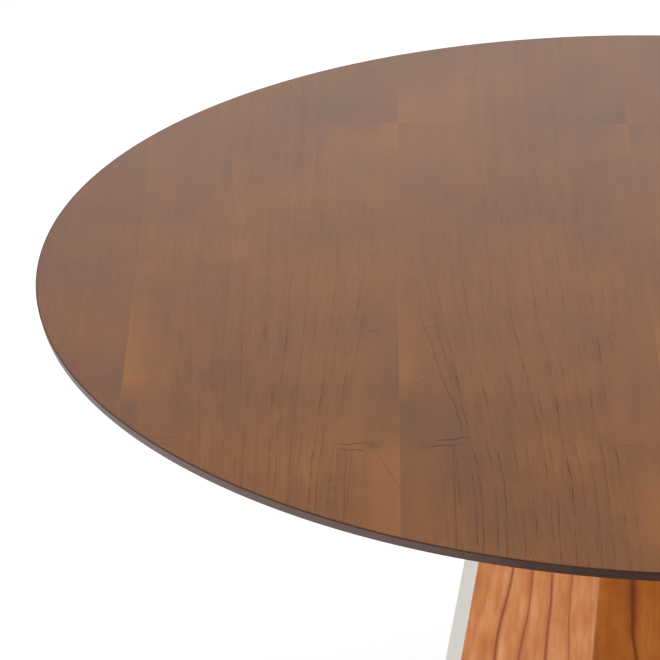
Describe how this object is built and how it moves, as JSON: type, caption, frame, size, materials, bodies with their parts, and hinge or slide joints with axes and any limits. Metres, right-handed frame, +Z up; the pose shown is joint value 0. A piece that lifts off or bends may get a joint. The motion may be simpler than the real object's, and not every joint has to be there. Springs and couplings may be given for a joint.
{
  "type": "round dining table",
  "caption": "Round dining table: a thin-edged veneered top on a tapering octagonal pedestal of mitred panels, with levelling feet.",
  "frame": {"origin": "on the floor, at the centre of the pedestal", "axes": "+Z up through the middle of the top, -Y out of the front panel, +X to the right seen from the front"},
  "size_m": [1.2, 1.2, 0.76],
  "materials": {
    "stained_veneer": "dark stained veneer, satin",
    "edge_lacquer": "fibreboard, dark satin lacquer",
    "orange_veneer": "fibreboard faced with orange-brown veneer, satin",
    "pale_lacquer": "fibreboard, off-white satin lacquer",
    "dark_lacquer": "fibreboard, dark lacquer",
    "raw_board": "raw fibreboard",
    "beech": "fluted beech",
    "zinc": "zinc plated",
    "black_steel": "black oxide",
    "black_plastic": "moulded, matte"
  },
  "bodies": {
    "table": {"table_top": "edge_lacquer", "top_veneer": "stained_veneer", "mounting_plate": "dark_lacquer", "top_former": "raw_board", "middle_former": "raw_board", "bottom_former": "raw_board", "panel_right": "pale_lacquer", "panel_back_right": "orange_veneer", "panel_back": "orange_veneer", "panel_back_left": "orange_veneer", "panel_left": "pale_lacquer", "panel_front_left": "orange_veneer", "panel_front": "orange_veneer", "panel_front_right": "orange_veneer", "top_dowel_1": "beech", "top_dowel_2": "beech", "top_dowel_3": "beech", "top_dowel_4": "beech", "top_dowel_5": "beech", "top_dowel_6": "beech", "top_dowel_7": "beech", "top_dowel_8": "beech", "bottom_dowel_1": "beech", "bottom_dowel_2": "beech", "bottom_dowel_3": "beech", "bottom_dowel_4": "beech", "bottom_dowel_5": "beech", "bottom_dowel_6": "beech", "bottom_dowel_7": "beech", "bottom_dowel_8": "beech", "top_bolt_1": "black_steel", "top_washer_1": "black_steel", "top_insert_1": "zinc", "plate_screw_1": "zinc", "foot_nut_1": "zinc", "top_bolt_2": "black_steel", "top_washer_2": "black_steel", "top_insert_2": "zinc", "plate_screw_2": "zinc", "foot_nut_2": "zinc", "top_bolt_3": "black_steel", "top_washer_3": "black_steel", "top_insert_3": "zinc", "plate_screw_3": "zinc", "foot_nut_3": "zinc", "top_bolt_4": "black_steel", "top_washer_4": "black_steel", "top_insert_4": "zinc", "plate_screw_4": "zinc", "foot_nut_4": "zinc"},
    "pad_1": {"foot_pad_1": "black_plastic"},
    "stem_1": {"foot_stem_1": "zinc"},
    "pad_2": {"foot_pad_2": "black_plastic"},
    "stem_2": {"foot_stem_2": "zinc"},
    "pad_3": {"foot_pad_3": "black_plastic"},
    "stem_3": {"foot_stem_3": "zinc"},
    "pad_4": {"foot_pad_4": "black_plastic"},
    "stem_4": {"foot_stem_4": "zinc"}
  },
  "joints": [
    {"name": "foot_1_height", "type": "slide", "parent": "table", "child": "pad_1", "axis": [0, 0, -1], "range_m": [0, 0.012]},
    {"name": "foot_1_turn", "type": "hinge", "parent": "pad_1", "child": "stem_1", "pos_m": [0.13773, 0.13773, 0.02], "axis": [0, 0, -1], "range_deg": [0, 3457]},
    {"name": "foot_2_height", "type": "slide", "parent": "table", "child": "pad_2", "axis": [0, 0, -1], "range_m": [0, 0.012]},
    {"name": "foot_2_turn", "type": "hinge", "parent": "pad_2", "child": "stem_2", "pos_m": [-0.13773, 0.13773, 0.02], "axis": [0, 0, -1], "range_deg": [0, 3457]},
    {"name": "foot_3_height", "type": "slide", "parent": "table", "child": "pad_3", "axis": [0, 0, -1], "range_m": [0, 0.012]},
    {"name": "foot_3_turn", "type": "hinge", "parent": "pad_3", "child": "stem_3", "pos_m": [-0.13773, -0.13773, 0.02], "axis": [0, 0, -1], "range_deg": [0, 3457]},
    {"name": "foot_4_height", "type": "slide", "parent": "table", "child": "pad_4", "axis": [0, 0, -1], "range_m": [0, 0.012]},
    {"name": "foot_4_turn", "type": "hinge", "parent": "pad_4", "child": "stem_4", "pos_m": [0.13773, -0.13773, 0.02], "axis": [0, 0, -1], "range_deg": [0, 3457]}
  ],
  "couplings": [
    {"joint": "foot_1_turn", "follows": "foot_1_height", "rad_per_m": 5026.5},
    {"joint": "foot_2_turn", "follows": "foot_2_height", "rad_per_m": 5026.5},
    {"joint": "foot_3_turn", "follows": "foot_3_height", "rad_per_m": 5026.5},
    {"joint": "foot_4_turn", "follows": "foot_4_height", "rad_per_m": 5026.5}
  ]
}
